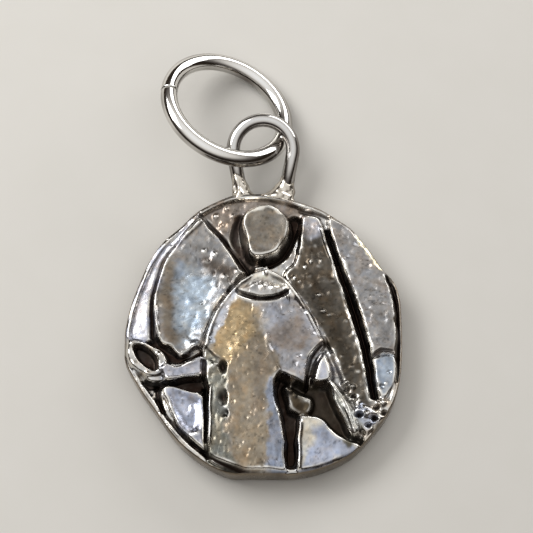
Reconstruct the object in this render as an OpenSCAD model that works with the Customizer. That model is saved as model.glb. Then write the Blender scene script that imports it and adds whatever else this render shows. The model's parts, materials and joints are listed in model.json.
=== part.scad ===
// Archangel charm: a hand-made silver medallion with a winged, robed figure in relief,
// a soldered wire bail and a jump ring. It lies on its back, face up, with the bail towards +Y.
// The origin is the centre of the flat back.

/* [Medallion] */
// Width of the medallion across the wings
medal_w = 15.9; // [14:0.1:18]
// Height of the medallion from the bail to the hem
medal_h = 16.8; // [15:0.1:19]
// Thickness of the medallion at its rim
medal_t = 1.9; // [1.5:0.1:2.6]
// How far the ground of the relief lies below the rim
ground_drop = 0.3; // [0.1:0.05:0.5]
// Width of the raised rim
rim_w = 0.4; // [0.25:0.05:0.8]
// How far the edge is drawn in where it turns into the flat back
back_round = 0.4; // [0.2:0.05:0.6]

/* [Relief] */
// Height of the wings above the ground
wing_rise = 0.38; // [0.2:0.02:0.6]
// Height of the thin raised edges along the wings, above the wings
bead_rise = 0.16; // [0.08:0.02:0.3]
// Width of the thin raised edges along the wings, at their foot
bead_w = 0.4; // [0.36:0.02:0.6]
// Height of the robe above the ground
robe_rise = 0.85; // [0.5:0.05:1.1]
// Height of the head above the ground
head_rise = 1; // [0.7:0.05:1.3]
// Height of the arms above the ground
arm_rise = 0.7; // [0.4:0.05:0.9]
// Depth of the hollows beside the robe and round the head, below the ground
hollow_depth = 0.5; // [0.2:0.05:0.8]
// Width of the slits at the collar and the cuff, at their lips
slit_w = 0.4; // [0.36:0.02:0.6]
// Depth of the slits at the collar and the cuff
slit_depth = 0.35; // [0.2:0.05:0.5]
// Width of the grooves beside the wings and under the left arm, at their lips
groove_w = 0.56; // [0.4:0.04:0.8]
// Depth of these grooves
groove_depth = 0.4; // [0.2:0.05:0.6]

/* [Bail] */
// Depth of the two seats that are filed into the top of the medallion for the bail to stand on
seat_drop = 0.42; // [0.36:0.02:0.6]
// Thickness of the bail's wire
bail_wire = 0.8; // [0.6:0.05:0.9]
// Outer width of the bail's round top
bail_w = 4.3; // [4:0.1:5]
// Distance from the feet to the centre of the bail's round top
bail_reach = 3.2; // [3:0.05:3.5]
// Angle at which the bail stands up from the plane of the medallion
bail_lift = 18; // [14:1:22]
// Angle by which each leg of the bail leans in towards its foot
leg_lean = 11; // [8:1:13]
// Height of the feet of the bail above the flat back
foot_z = 1.15; // [1:0.05:1.25]

/* [Solder] */
// Radius of the solder where it spreads on the edge of the medallion
solder_r = 0.66; // [0.56:0.02:0.68]
// Height to which the solder climbs the legs
solder_h = 0.8; // [0.5:0.05:1]

/* [Jump ring] */
// Thickness of the jump ring's wire
ring_wire = 1; // [0.8:0.05:1.05]
// Outer diameter of the jump ring
ring_w = 8.3; // [7.9:0.1:9]
// Gap at the butt joint of the jump ring
ring_seam = 0.04; // [0.02:0.01:0.1]
// Distance by which the ring's wire passes the centre of the bail's round top
thread_past = 0.36; // [0.3:0.02:0.44]

/* [Hidden] */

// Circles of this many steps stand for true circles
$fn = 96;
// How far a cut runs past what it cuts
overrun = 1;
// Points that a curve gets between two of its drawn points
curve_steps = 2;
// Cells of the face's grid from side to side
face_cells = 68;
// Angle between the points at which the drawn outline is measured
outline_step = 3;

silver = "#c9c8c3";
bright_silver = "#e4e3df";

// The figure and the blank are drawn on a round of this radius, and then brought to the medallion's size
medal_r = (medal_w + medal_h) / 4;
ground_z = medal_t - ground_drop;
bail_r = (bail_w - bail_wire) / 2;
// The legs are filed a little thinner than the round top, as a share of the wire
leg_share = 0.98;
leg_wire = bail_wire * leg_share;
// The round top runs on over the start of each leg by this angle
top_lap = 1;
leg_len = (bail_reach - bail_r * sin(leg_lean)) / cos(leg_lean);
foot_x = bail_r * cos(leg_lean) - leg_len * sin(leg_lean);
// Thickness of the solder where it ends on the wire, as a share of the wire
solder_lip_share = 0.06;
solder_lip = bail_wire * solder_lip_share;
// Steps of the solder's flare
flare_steps = 8;

// Outline of the blank, as radius shares every 15 degrees, from +X towards +Y
blank_shares = [
    1.00, 1.02, 1.01, 1.00, 1.01, 1.035, 1.055, 1.05, 1.02, 0.99, 0.97, 0.97,
    0.985, 0.98, 0.965, 0.98, 1.01, 1.04, 1.04, 1.045, 1.06, 1.065, 1.04, 1.01
];
blank_n = len(blank_shares);
// The drawn outline's point in a direction
function blank_point(angle) =
    let (u = (angle % 360 + 360) % 360 * blank_n / 360, i = floor(u),
        r = curve_point(blank_shares[(i + blank_n - 1) % blank_n], blank_shares[i % blank_n],
            blank_shares[(i + 1) % blank_n], blank_shares[(i + 2) % blank_n], u - i))
    medal_r * r * [cos(angle), sin(angle)];
drawn = [for (angle = [0 : outline_step : 360 - outline_step]) blank_point(angle)];
drawn_x = [for (p = drawn) p[0]];
drawn_y = [for (p = drawn) p[1]];
// How much the drawn round is stretched across and along
stretch = [medal_w / (max(drawn_x) - min(drawn_x)), medal_h / (max(drawn_y) - min(drawn_y))];
seat_y = max(drawn_y) * stretch[1] - seat_drop;
// Width of the metal left standing between the seats, as a share of the space between the two solders
between_share = 0.6;
between_w = 2 * (foot_x - solder_r) * between_share;

loop_centre = [0, seat_y + bail_reach * cos(bail_lift), foot_z + bail_reach * sin(bail_lift)];
ring_r = (ring_w - ring_wire) / 2;
// Way from the centre of the bail's round top to the centre of the ring: heading, and angle of climb
ring_heading = 130;
ring_climb = 2.1;
ring_centre = loop_centre + (ring_r - thread_past)
    * [cos(ring_heading) * cos(ring_climb), sin(ring_heading) * cos(ring_climb), sin(ring_climb)];
// The ring leans until its low side, which lies this way, rests on the table
ring_tilt_heading = 38;
ring_tilt = asin((ring_centre[2] - ring_wire / 2) / ring_r);
// Place of the butt joint, from the low side
seam_angle = 136;
// Edge of the blank from the back up: how far it is drawn in, and its height, as shares
edge_shares = [[1, 0], [0.25, 0.12], [0, 0.35], [0.15, 0.72]];
// How far the face's outline is drawn in, as a share of the same
face_edge_share = 0.55;

// Outlines of the figure, as shares of the medallion's radius
left_wing_shares = [
    [-0.46, 0.87], [-0.38, 0.79], [-0.24, 0.64], [-0.12, 0.49], [-0.23, 0.36], [-0.34, 0.20],
    [-0.42, 0.02], [-0.47, -0.15], [-0.57, -0.19], [-0.69, -0.16], [-0.76, -0.04], [-0.79, 0.12],
    [-0.78, 0.28], [-0.74, 0.46], [-0.65, 0.66], [-0.55, 0.80]
];
right_wing_shares = [
    [0.29, 0.86], [0.40, 0.83], [0.45, 0.70], [0.50, 0.50], [0.57, 0.28], [0.65, 0.05], [0.71, -0.17],
    [0.74, -0.38], [0.77, -0.55], [0.70, -0.58], [0.60, -0.42], [0.50, -0.20], [0.38, 0.04],
    [0.27, 0.25], [0.14, 0.42], [0.15, 0.55], [0.26, 0.68], [0.27, 0.80]
];
lower_wing_shares = [
    [-0.68, -0.41], [-0.55, -0.41], [-0.44, -0.46], [-0.42, -0.60], [-0.40, -0.84], [-0.47, -0.85],
    [-0.58, -0.75], [-0.65, -0.60]
];
outer_band_shares = [
    [0.45, 0.86], [0.55, 0.79], [0.66, 0.68], [0.77, 0.53], [0.87, 0.35], [0.91, 0.16], [0.93, -0.06],
    [0.95, -0.28], [0.92, -0.44], [0.84, -0.50], [0.80, -0.42], [0.79, -0.24], [0.76, -0.04],
    [0.70, 0.14], [0.62, 0.33], [0.55, 0.54], [0.48, 0.72]
];
// The flank between the rim and the left wing
left_flank_shares = [
    [-0.50, 0.88], [-0.60, 0.77], [-0.71, 0.61], [-0.78, 0.44], [-0.82, 0.25], [-0.83, 0.08],
    [-0.81, -0.05], [-0.95, -0.05], [-0.97, 0.10], [-0.95, 0.28], [-0.90, 0.44], [-0.80, 0.62],
    [-0.68, 0.78], [-0.56, 0.90]
];
head_shares = [
    [0.00, 0.965], [0.09, 0.94], [0.175, 0.87], [0.19, 0.77], [0.165, 0.66], [0.12, 0.58],
    [0.05, 0.545], [-0.05, 0.545], [-0.11, 0.59], [-0.14, 0.70], [-0.165, 0.83], [-0.10, 0.93]
];
robe_shares = [
    [0.00, 0.51], [-0.09, 0.46], [-0.22, 0.36], [-0.31, 0.24], [-0.38, 0.11], [-0.43, -0.02],
    [-0.44, -0.15], [-0.41, -0.24], [-0.40, -0.39], [-0.39, -0.58], [-0.39, -0.80], [-0.35, -0.91],
    [-0.20, -0.98], [0.00, -1.04], [0.14, -1.02], [0.15, -0.92], [0.13, -0.73], [0.125, -0.58],
    [0.095, -0.44], [0.13, -0.32], [0.19, -0.27], [0.245, -0.34], [0.30, -0.40], [0.31, -0.25],
    [0.355, -0.13], [0.42, -0.04], [0.36, 0.08], [0.27, 0.21], [0.21, 0.33], [0.12, 0.42], [0.05, 0.46]
];
hem_shares = [
    [0.22, -0.60], [0.29, -0.63], [0.37, -0.61], [0.45, -0.70], [0.54, -0.79], [0.63, -0.83],
    [0.54, -0.92], [0.40, -1.00], [0.25, -1.03], [0.23, -0.82]
];
left_arm_shares = [
    [-0.72, -0.20], [-0.60, -0.22], [-0.50, -0.20], [-0.42, -0.13], [-0.40, -0.33], [-0.50, -0.36],
    [-0.60, -0.37], [-0.72, -0.35]
];
left_hand_shares = [
    [-1.00, -0.09], [-0.90, -0.05], [-0.80, -0.10], [-0.68, -0.16], [-0.67, -0.26], [-0.72, -0.35],
    [-0.78, -0.38], [-0.88, -0.31], [-0.97, -0.21]
];
right_arm_shares = [
    [0.35, -0.34], [0.43, -0.28], [0.50, -0.32], [0.56, -0.46], [0.63, -0.60], [0.70, -0.70],
    [0.64, -0.79], [0.54, -0.70], [0.44, -0.54]
];
cuff_shares = [[0.35, -0.34], [0.37, -0.20], [0.42, -0.10], [0.46, -0.20], [0.49, -0.32], [0.45, -0.38]];
collar_shares = [[-0.06, 0.52], [0.06, 0.52], [0.08, 0.44], [0.00, 0.38], [-0.08, 0.44]];
// Hollows: round the head, and between the robe and the right arm
head_hollow_shares = [
    [-0.24, 0.92], [-0.26, 0.74], [-0.22, 0.56], [-0.12, 0.42], [0.02, 0.38], [0.14, 0.44],
    [0.24, 0.60], [0.32, 0.76], [0.28, 0.92], [0.16, 1.00], [-0.12, 1.00]
];
robe_hollow_shares = [
    [0.08, -0.28], [0.30, -0.34], [0.50, -0.36], [0.58, -0.60], [0.70, -0.82], [0.58, -0.82],
    [0.44, -0.64], [0.34, -0.58], [0.24, -0.60], [0.25, -0.94], [0.14, -0.96], [0.08, -0.70]
];
// The skirt's left side, which slopes away from the fold line beside it
skirt_side_shares = [
    [-0.46, -0.18], [-0.30, -0.20], [-0.25, -0.45], [-0.24, -0.75], [-0.18, -1.00], [-0.46, -1.00]
];
fold_line_shares = [[-0.30, -0.20], [-0.25, -0.45], [-0.24, -0.75], [-0.18, -1.00]];
// The right side of the skirt, beside the deep hollow, and of the chest, with the lines they slope from
skirt_right_shares = [[0.05, -0.28], [0.20, -0.28], [0.20, -1.05], [0.03, -1.05], [0.05, -0.60]];
front_line_shares = [[0.05, -0.28], [0.05, -0.60], [0.03, -1.05]];
chest_side_shares = [
    [0.02, 0.36], [0.45, 0.36], [0.45, -0.40], [0.16, -0.40], [0.08, -0.26], [0.02, -0.06]
];
chest_line_shares = [[0.02, 0.36], [0.02, -0.06], [0.08, -0.26]];
// Middle lines of the thin raised edges
left_bead_shares = [
    [-0.46, 0.83], [-0.56, 0.73], [-0.65, 0.59], [-0.72, 0.42], [-0.755, 0.24], [-0.76, 0.06],
    [-0.74, -0.06]
];
lower_bead_shares = [[-0.69, -0.44], [-0.67, -0.55], [-0.62, -0.66], [-0.55, -0.76]];
right_bead_shares = [
    [0.42, 0.78], [0.46, 0.62], [0.53, 0.36], [0.61, 0.12], [0.67, -0.10], [0.71, -0.32], [0.74, -0.50]
];
left_lapel_shares = [[-0.10, 0.43], [-0.21, 0.33], [-0.29, 0.22], [-0.355, 0.10], [-0.40, -0.02]];
right_lapel_shares = [
    [0.04, 0.43], [0.11, 0.39], [0.19, 0.30], [0.245, 0.20], [0.33, 0.07], [0.385, -0.03]
];
hem_bead_shares = [[0.25, -0.68], [0.255, -0.85], [0.27, -0.99]];
// Middle lines of the grooves: beside the wings, under the left wing and under the left arm
left_groove_shares = [
    [-0.62, 0.73], [-0.70, 0.61], [-0.77, 0.44], [-0.81, 0.26], [-0.82, 0.08], [-0.80, -0.05]
];
right_groove_shares = [
    [0.46, 0.80], [0.53, 0.51], [0.61, 0.26], [0.70, 0.02], [0.755, -0.27], [0.78, -0.51]
];
under_wing_shares = [[-0.84, -0.06], [-0.72, -0.11], [-0.60, -0.18], [-0.46, -0.18]];
under_arm_shares = [[-0.88, -0.39], [-0.72, -0.40], [-0.55, -0.39], [-0.41, -0.37]];
// Middle lines of the slits
collar_slit_shares = [[-0.18, 0.29], [-0.10, 0.25], [0.00, 0.235], [0.08, 0.25], [0.15, 0.28]];
sleeve_slit_shares = [[0.42, -0.09], [0.36, -0.17], [0.32, -0.27], [0.31, -0.38]];
// Folds left standing in the hollow, and knots of the bunch in the right hand: place and size
fold_shares = [[0.20, -0.44, 0.075], [0.29, -0.48, 0.07], [0.36, -0.49, 0.06]];
bunch_shares = [
    [0.65, -0.61, 0.075], [0.75, -0.58, 0.08], [0.85, -0.52, 0.08], [0.70, -0.71, 0.075],
    [0.80, -0.66, 0.07], [0.61, -0.70, 0.065]
];
// The left hand's bowl
bowl_shares = [-0.84, -0.21, 0.1];

// Height shares of the hem, the collar, the folds and the left bowl's wall
hem_height_share = 0.6;
collar_height_share = 0.9;
fold_height_share = 0.4;
// Height share of the left flank, of the wings' height
flank_height_share = 0.5;
// Slopes of the skirt's sides and of the chest's right side
side_slope = 0.35;
chest_slope = 0.15;

// One cell of the face's grid, as a share of the medallion's radius. A wall of the relief is two cells wide,
// with its outline along the middle, so that it runs smoothly across the grid.
cell_share = 2 / face_cells;
wall_share = 2 * cell_share;
// How each form rises from the foot of its wall: the way in, as a share of the medallion's radius,
// and the share of its height that it has there
steep_shares = [[0, 0], [wall_share, 0.95], [0.12, 1]];
cupped_shares = [[0, 0], [wall_share, 0.95], [0.09, 1], [0.16, 0.7], [0.26, 0.6]];
dome_shares = [[0, 0], [wall_share, 0.8], [0.1, 0.95], [0.18, 1]];
soft_shares = [[0, 0], [wall_share, 0.72], [0.11, 0.9], [0.16, 1]];
dug_shares = [[0, 0], [wall_share, 1]];
// How a thin edge and a slit fall from their middle line, as shares of their half width
bead_across_shares = [[0, 1], [0.4, 0.85], [1, 0]];
// How a knot falls from its middle, as shares of its radius
knot_across_shares = [[0, 1], [0.5, 0.92], [0.85, 0.6], [1, 0]];

// Curves and distances

function curve_point(a, b, c, d, t) =
    ((2 * b) + (c - a) * t + (2 * a - 5 * b + 4 * c - d) * t * t + (3 * b - 3 * c + d - a) * t * t * t) / 2;

function closed_curve(p) =
    let (n = len(p))
    [for (i = [0 : n - 1], k = [0 : curve_steps - 1])
        curve_point(p[(i + n - 1) % n], p[i], p[(i + 1) % n], p[(i + 2) % n], k / curve_steps)];

function open_curve(p) =
    let (n = len(p))
    concat(
        [for (i = [0 : n - 2], k = [0 : curve_steps - 1])
            curve_point(p[max(i - 1, 0)], p[i], p[i + 1], p[min(i + 2, n - 1)], k / curve_steps)],
        [p[n - 1]]);

function gap_to(p, a, b) =
    let (d = b - a, t = max(0, min(1, (p - a) * d / (d * d))))
    norm(p - a - d * t);
function line_gap(p, line) = min([for (i = [0 : len(line) - 2]) gap_to(p, line[i], line[i + 1])]);
function loop_gap(p, loop) =
    min([for (i = [0 : len(loop) - 1]) gap_to(p, loop[i], loop[(i + 1) % len(loop)])]);
function is_inside(p, loop) =
    len([for (i = [0 : len(loop) - 1])
        let (a = loop[i], b = loop[(i + 1) % len(loop)])
        if ((a[1] > p[1]) != (b[1] > p[1])
            && p[0] < a[0] + (b[0] - a[0]) * (p[1] - a[1]) / (b[1] - a[1])) 1]) % 2 == 1;

// Strokes. Each one takes a point in shares of the radius and the height there so far,
// and gives the new height.

function way_in(p, loop) = cell_share + (is_inside(p, loop) ? 1 : -1) * loop_gap(p, loop);
function raise(p, z, loop, profile_shares, rise) =
    z + max(0, ground_z + rise - z) * lookup(way_in(p, loop), profile_shares);
function dig(p, z, loop, depth) = z - depth * lookup(way_in(p, loop), dug_shares);
function raise_line(p, z, line, width, rise) =
    z + rise * lookup(line_gap(p, line) / (width / 2 / medal_r), bead_across_shares);
function raise_knot(p, z, place_shares, rise) =
    let (away = norm(p - [place_shares[0], place_shares[1]]) / place_shares[2])
    away < 1 ? max(z, ground_z + rise * lookup(away, knot_across_shares)) : z;
function raise_knots(p, z, places_shares, rise, k = 0) =
    k == len(places_shares) ? z
        : raise_knots(p, raise_knot(p, z, places_shares[k], rise), places_shares, rise, k + 1);
function slope_side(p, z, loop, line, slope) =
    is_inside(p, loop) && is_inside(p, robe)
        ? min(z, max(ground_z, z - slope * medal_r * line_gap(p, line))) : z;
function sink_bowl(p, z, place_shares, depth) =
    let (away = norm(p - [place_shares[0], place_shares[1]]) / place_shares[2])
    away < 1 ? z - depth * lookup(away, knot_across_shares) : z;

left_wing = closed_curve(left_wing_shares);
right_wing = closed_curve(right_wing_shares);
lower_wing = closed_curve(lower_wing_shares);
outer_band = closed_curve(outer_band_shares);
left_flank = closed_curve(left_flank_shares);
robe = closed_curve(robe_shares);
hem = closed_curve(hem_shares);
figure_head = closed_curve(head_shares);
collar = closed_curve(collar_shares);
left_arm = closed_curve(left_arm_shares);
left_hand = closed_curve(left_hand_shares);
right_arm = closed_curve(right_arm_shares);
cuff = closed_curve(cuff_shares);
head_hollow = closed_curve(head_hollow_shares);
robe_hollow = closed_curve(robe_hollow_shares);
left_bead = open_curve(left_bead_shares);
lower_bead = open_curve(lower_bead_shares);
right_bead = open_curve(right_bead_shares);
left_lapel = open_curve(left_lapel_shares);
right_lapel = open_curve(right_lapel_shares);
left_groove = open_curve(left_groove_shares);
right_groove = open_curve(right_groove_shares);
collar_slit = open_curve(collar_slit_shares);
sleeve_slit = open_curve(sleeve_slit_shares);

// The relief, stroke by stroke: hollows, wings with their raised edges, robe, head, arms,
// and last the grooves and slits
function with_hollows(p, z) = dig(p, dig(p, z, head_hollow, hollow_depth), robe_hollow, hollow_depth);
function with_wings(p, z) =
    let (flank = raise(p, z, left_flank, soft_shares, wing_rise * flank_height_share),
        a = raise(p, flank, left_wing, cupped_shares, wing_rise),
        b = raise(p, a, lower_wing, cupped_shares, wing_rise),
        c = raise(p, b, right_wing, cupped_shares, wing_rise),
        d = raise(p, c, outer_band, steep_shares, wing_rise),
        e = raise_line(p, d, left_bead, bead_w, bead_rise),
        f = raise_line(p, e, lower_bead, bead_w, bead_rise))
    raise_line(p, f, right_bead, bead_w, bead_rise);
function with_robe(p, z) =
    let (a = raise(p, z, robe, soft_shares, robe_rise),
        b = slope_side(p, a, skirt_side_shares, fold_line_shares, side_slope),
        c = slope_side(p, b, skirt_right_shares, front_line_shares, side_slope),
        d = slope_side(p, c, chest_side_shares, chest_line_shares, chest_slope),
        e = raise_line(p, raise_line(p, d, left_lapel, bead_w, bead_rise), right_lapel, bead_w, bead_rise),
        f = raise(p, e, hem, steep_shares, robe_rise * hem_height_share))
    raise_knots(p, raise_line(p, f, hem_bead_shares, bead_w, bead_rise), fold_shares,
        robe_rise * fold_height_share);
function with_head(p, z) =
    raise(p, raise(p, z, collar, steep_shares, robe_rise * collar_height_share),
        figure_head, dome_shares, head_rise);
function with_arms(p, z) =
    let (a = raise(p, z, left_arm, soft_shares, arm_rise),
        b = raise(p, a, left_hand, steep_shares, arm_rise),
        c = sink_bowl(p, b, bowl_shares, arm_rise / 2),
        d = raise(p, c, cuff, steep_shares, arm_rise),
        e = raise(p, d, right_arm, dome_shares, arm_rise))
    raise_knots(p, e, bunch_shares, arm_rise);
function with_grooves(p, z) =
    let (a = raise_line(p, z, left_groove, groove_w, -groove_depth),
        b = raise_line(p, a, right_groove, groove_w, -groove_depth),
        c = raise_line(p, b, under_wing_shares, groove_w, -groove_depth))
    raise_line(p, c, under_arm_shares, groove_w, -groove_depth);
function with_slits(p, z) =
    raise_line(p, raise_line(p, z, collar_slit, slit_w, -slit_depth), sleeve_slit, slit_w, -slit_depth);
function relief(p, z) =
    let (clothed = with_robe(p, with_wings(p, with_hollows(p, z))))
    with_slits(p, with_grooves(p, with_arms(p, with_head(p, clothed))));

// Solids

// A point of the drawn round, brought to the medallion's own size
function at_size(p) = [p[0] * stretch[0], p[1] * stretch[1]];
// A point of the outline, drawn in by a length and filed off where a seat crosses it
function drawn_in(angle, draw) =
    let (out = norm(blank_point(angle)) - draw,
        filed = sin(angle) > 0 ? seat_y / stretch[1] / sin(angle) : out,
        on_seat = abs(filed * cos(angle)) * stretch[0] > between_w / 2)
    (on_seat ? min(out, filed) : out) * [cos(angle), sin(angle)];

// A square grid laid over the round: how far out a grid point lies, and in which direction
function grid_out(a, b) = max(abs(a), abs(b));
function grid_angle(a, b) =
    a == 0 && b == 0 ? 0
        : abs(a) >= abs(b) ? (a > 0 ? 0 : 180) + 45 * b / a
        : (b > 0 ? 90 : 270) - 45 * a / b;
// The rim's height at a way in from the edge
function rim_height(inset) =
    lookup(inset, [[0, medal_t - ground_drop / 3], [rim_w / 3, medal_t], [rim_w, ground_z]]);
function face_point(a, b) =
    let (out = grid_out(a, b),
        edge = drawn_in(grid_angle(a, b), back_round * face_edge_share),
        p = edge * out,
        z = relief(p / medal_r, rim_height(norm(edge) * (1 - out))),
        q = at_size(p))
    [q[0], q[1], z];

// The casting: one skin over the flat back, the rounded edge and the worked face
module medallion() {
    n = face_cells;
    lines = [for (j = [0 : n]) [for (i = [0 : n]) face_point(2 * i / n - 1, 2 * j / n - 1)]];
    // The grid's border, anticlockwise from its lower left corner
    border = concat(
        [for (i = [0 : n - 1]) [i, 0]], [for (j = [0 : n - 1]) [n, j]],
        [for (i = [n : -1 : 1]) [i, n]], [for (j = [n : -1 : 1]) [0, j]]);
    m = len(border);
    rings = [for (row = edge_shares) [for (c = border)
        let (q = at_size(drawn_in(grid_angle(2 * c[0] / n - 1, 2 * c[1] / n - 1), back_round * row[0])))
        [q[0], q[1], medal_t * row[1]]]];
    face_count = (n + 1) * (n + 1);
    function face_at(i, j) = j * (n + 1) + i;
    // A point of the edge's rings, or of the face's border where the ring's number is below zero
    function ring_at(k, i) =
        k < 0 ? face_at(border[i % m][0], border[i % m][1]) : face_count + k * m + i % m;
    last = len(rings) - 1;
    color(silver) polyhedron(
        points = concat([for (line = lines) each line], [for (ring = rings) each ring]),
        faces = concat(
            [for (j = [0 : n - 1], i = [0 : n - 1]) each
                (i < n / 2) == (j < n / 2)
                    ? [[face_at(i, j), face_at(i, j + 1), face_at(i + 1, j + 1)],
                        [face_at(i, j), face_at(i + 1, j + 1), face_at(i + 1, j)]]
                    : [[face_at(i, j), face_at(i, j + 1), face_at(i + 1, j)],
                        [face_at(i + 1, j), face_at(i, j + 1), face_at(i + 1, j + 1)]]],
            [for (k = [0 : last], i = [0 : m - 1]) each
                let (above = k == last ? -1 : k + 1,
                    low = ring_at(k, i), low_next = ring_at(k, i + 1),
                    high = ring_at(above, i), high_next = ring_at(above, i + 1))
                [[low, high, low_next], [low_next, high, high_next]]],
            [[for (i = [0 : m - 1]) ring_at(0, i)]]));
}

// What stands on the seats, drawn in the bail's own leaning plane with its feet on y = 0,
// and cut off flush with the seats
module on_seats() {
    difference() {
        translate([0, seat_y, foot_z]) rotate([bail_lift, 0, 0]) children();
        translate([-medal_w / 2, seat_y - medal_h, -medal_w / 2]) cube([medal_w, medal_h, medal_w]);
    }
}

// One leg's line, from its foot up, on the side that the sign gives
module along_leg(side) {
    translate([side * foot_x, 0, 0]) rotate([-90, 0, -side * leg_lean]) children();
}

module bail_loop() {
    color(bright_silver) on_seats() {
        translate([0, bail_reach, 0]) rotate([0, 0, -leg_lean - top_lap])
            rotate_extrude(angle = 180 + 2 * (leg_lean + top_lap))
                translate([bail_r, 0]) circle(d = bail_wire);
        for (side = [-1, 1])
            along_leg(side) translate([0, 0, -overrun]) cylinder(d = leg_wire, h = leg_len + overrun);
    }
}

// Solder that flares from a leg of the bail to its seat
module solder(side) {
    flare = solder_r - solder_lip - leg_wire / 2;
    color(silver) on_seats() along_leg(side) rotate_extrude() polygon(concat(
        [[leg_wire / 2, -overrun], [solder_r, -overrun]],
        [for (i = [0 : flare_steps]) let (t = i / flare_steps)
            [leg_wire / 2 + solder_lip + flare * (1 - t) * (1 - t), solder_h * t]],
        [[leg_wire / 2, solder_h]]));
}

module solder_left() {
    solder(-1);
}

module solder_right() {
    solder(1);
}

// The jump ring: threaded through the bail, its low side on the table
module jump_ring() {
    seam_turn = ring_seam / ring_r * 180 / PI;
    color(bright_silver) translate(ring_centre) rotate([0, ring_tilt, ring_tilt_heading])
        rotate([0, 0, seam_angle + seam_turn / 2])
            rotate_extrude(angle = 360 - seam_turn) translate([ring_r, 0]) circle(d = ring_wire);
}

medallion();
bail_loop();
solder_left();
solder_right();
jump_ring();
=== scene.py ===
# %% [markdown]
# A small silver charm lies on a table: a cast medallion with a winged, robed figure, a bail of wire
# soldered to its edge, and a jump ring. The construction is fixed, so this script only gives it its
# looks. Lengths are in millimetres on the bench and are turned to metres as each mesh is written.

# %% Load the fixed frame
import json
import math

import bpy
import numpy as np
from mathutils import Matrix, Vector, noise


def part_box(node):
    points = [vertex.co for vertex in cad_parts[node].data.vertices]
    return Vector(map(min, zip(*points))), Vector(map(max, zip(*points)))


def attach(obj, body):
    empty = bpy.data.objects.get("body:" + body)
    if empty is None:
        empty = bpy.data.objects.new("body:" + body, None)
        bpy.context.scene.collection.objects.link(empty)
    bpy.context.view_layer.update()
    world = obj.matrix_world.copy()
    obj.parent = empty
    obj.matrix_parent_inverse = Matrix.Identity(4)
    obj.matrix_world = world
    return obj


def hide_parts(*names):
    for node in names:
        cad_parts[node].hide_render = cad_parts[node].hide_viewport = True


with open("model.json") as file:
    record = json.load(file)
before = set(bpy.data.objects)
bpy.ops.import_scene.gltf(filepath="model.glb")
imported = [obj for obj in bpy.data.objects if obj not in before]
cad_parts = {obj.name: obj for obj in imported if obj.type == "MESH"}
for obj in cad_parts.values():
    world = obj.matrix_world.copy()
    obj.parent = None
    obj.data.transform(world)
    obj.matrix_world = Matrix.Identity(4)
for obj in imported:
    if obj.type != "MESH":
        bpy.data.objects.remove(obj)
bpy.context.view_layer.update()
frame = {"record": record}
MM = 0.001
bpy.ops.object.select_all(action="DESELECT")

# %% [markdown]
# The picture was taken almost from above, from the hem's side. Its forms are traced as if from far off,
# and how much shorter a millimetre looks along the face than across it gives the steepness. The camera
# itself stands nearer and lower, where most edges of ring and medallion fall on their places.

# %% Camera
PICTURE = 533
PIXELS_PER_MM_ACROSS = 17.29
PIXELS_PER_MM_ALONG = 16.69
FACE_CENTRE_PIXEL = (263, 332.5)
RIM_Z = 1.9
TRACED_ELEVATION = math.asin(PIXELS_PER_MM_ALONG / PIXELS_PER_MM_ACROSS)
CAMERA_DISTANCE = 120
CAMERA_ELEVATION = math.radians(70.6)
CAMERA_PIXELS_PER_MM = 17.55
AIM_ACROSS, AIM_UP = 0.2, 3.7
SENSOR = 36
back = Vector((0, -math.cos(CAMERA_ELEVATION), math.sin(CAMERA_ELEVATION)))
up = Vector((0, math.sin(CAMERA_ELEVATION), math.cos(CAMERA_ELEVATION)))
target = Vector((AIM_ACROSS, 0, RIM_Z)) + up * AIM_UP
bpy.ops.object.camera_add(location=(target + back * CAMERA_DISTANCE) * MM)
camera = bpy.context.object
camera.rotation_mode = "QUATERNION"
camera.rotation_quaternion = (-back).to_track_quat("-Z", "Y")
camera.data.sensor_width = SENSOR
camera.data.lens = SENSOR * CAMERA_DISTANCE * CAMERA_PIXELS_PER_MM / PICTURE
camera.data.clip_start = MM
camera.data.clip_end = 10
bpy.context.scene.camera = camera
print("traced from", round(math.degrees(TRACED_ELEVATION), 2), "degrees, lens", round(camera.data.lens, 1))

# %% [markdown]
# Colours are written as sRGB hex values, as a paint chart gives them, and one function turns them to
# the linear numbers that shaders use. One more function adds a node, sets it and links it.

# %% Colour and node helpers
def linear(code, alpha=1.0):
    values = [int(code[k:k + 2], 16) / 255 for k in (1, 3, 5)]
    return tuple(v / 12.92 if v <= 0.04045 else ((v + 0.055) / 1.055) ** 2.4 for v in values) + (alpha,)


def add(tree, kind, settings=None, inputs=None):
    node = tree.nodes.new(kind)
    for name, value in (settings or {}).items():
        setattr(node, name, value)
    for name, value in (inputs or {}).items():
        if isinstance(value, bpy.types.NodeSocket):
            tree.links.new(value, node.inputs[name])
        else:
            node.inputs[name].default_value = value
    return node


def new_material(name):
    material = bpy.data.materials.new(name)
    material.use_nodes = True
    tree = material.node_tree
    tree.nodes.clear()
    output = add(tree, "ShaderNodeOutputMaterial")
    shader = add(tree, "ShaderNodeBsdfPrincipled")
    tree.links.new(shader.outputs["BSDF"], output.inputs["Surface"])
    return material, tree, shader


def per_metre(size_mm):
    return 1 / (size_mm * MM)


# A mix of colours has its two colours and its result in sockets with these numbers
MIX_FIRST, MIX_SECOND, MIX_RESULT = 6, 7, 2

# %% [markdown]
# Polished metal shows what is round it, so the room is half of its look. The room is a plain studio,
# pale overhead and dark towards the walls, with two soft boxes. The dark walls give the wires their
# dark bands, and the boxes give them their long white ones.

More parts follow.
